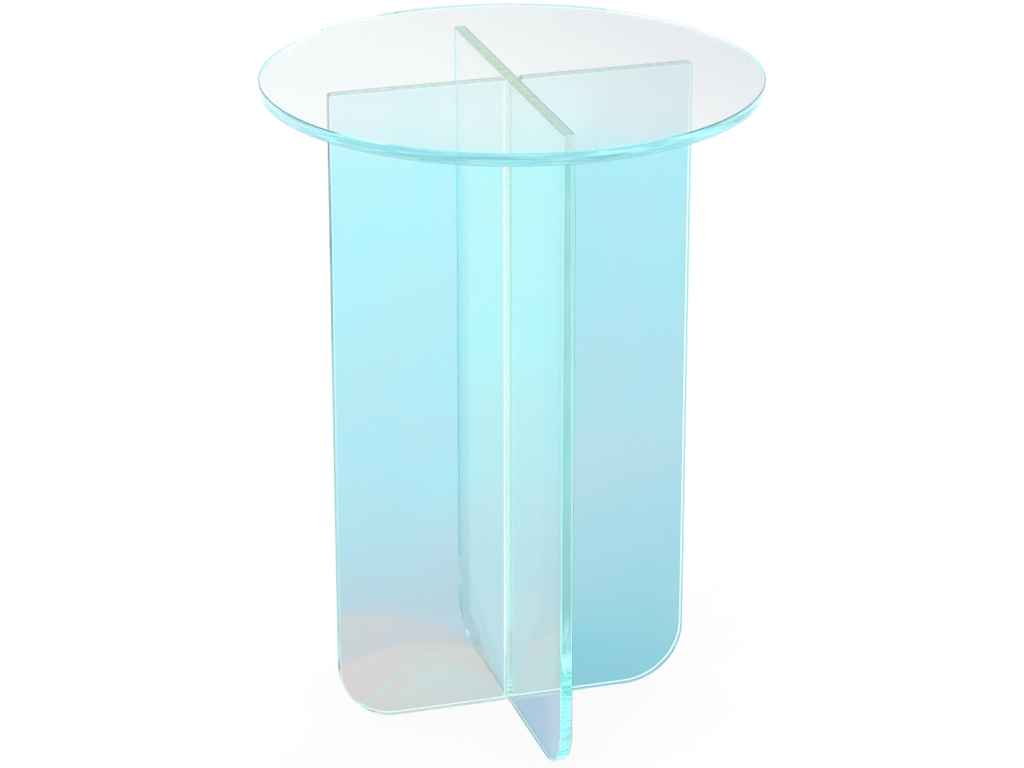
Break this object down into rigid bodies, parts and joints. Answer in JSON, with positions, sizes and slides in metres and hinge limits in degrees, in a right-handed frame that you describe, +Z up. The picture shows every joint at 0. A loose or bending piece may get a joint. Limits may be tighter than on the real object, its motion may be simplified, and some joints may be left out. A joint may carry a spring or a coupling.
{
  "type": "glass end table",
  "caption": "Round glass end table on a base of crossed upright glass panels with rounded lower corners, in clear glass with an iridescent film.",
  "frame": {"origin": "on the floor, on the vertical line where the two panels cross, under the centre of the top", "axes": "+Z up; the side panels run along X and the cross panel along Y"},
  "size_m": [0.4, 0.4, 0.55],
  "materials": {
    "top_glass": "polished clear glass with a ground and polished rim",
    "side_panel_glass": "polished clear glass with ground and polished edges",
    "cross_panel_glass": "polished clear glass with ground and polished edges",
    "top_film": "clear iridescent film, faint lilac",
    "side_panel_film": "clear iridescent film, cyan turning to rose near the foot",
    "cross_panel_film": "clear iridescent film, cyan turning to mint near the foot",
    "adhesive": "clear cured adhesive"
  },
  "bodies": {
    "root": {"table_top": "top_glass", "top_film": "top_film", "cross_panel": "cross_panel_glass", "cross_panel_film": "cross_panel_film", "left_panel": "side_panel_glass", "left_panel_film": "side_panel_film", "right_panel": "side_panel_glass", "right_panel_film": "side_panel_film", "cross_top_bond": "adhesive", "left_top_bond": "adhesive", "right_top_bond": "adhesive", "left_side_bond": "adhesive", "right_side_bond": "adhesive"}
  },
  "joints": []
}
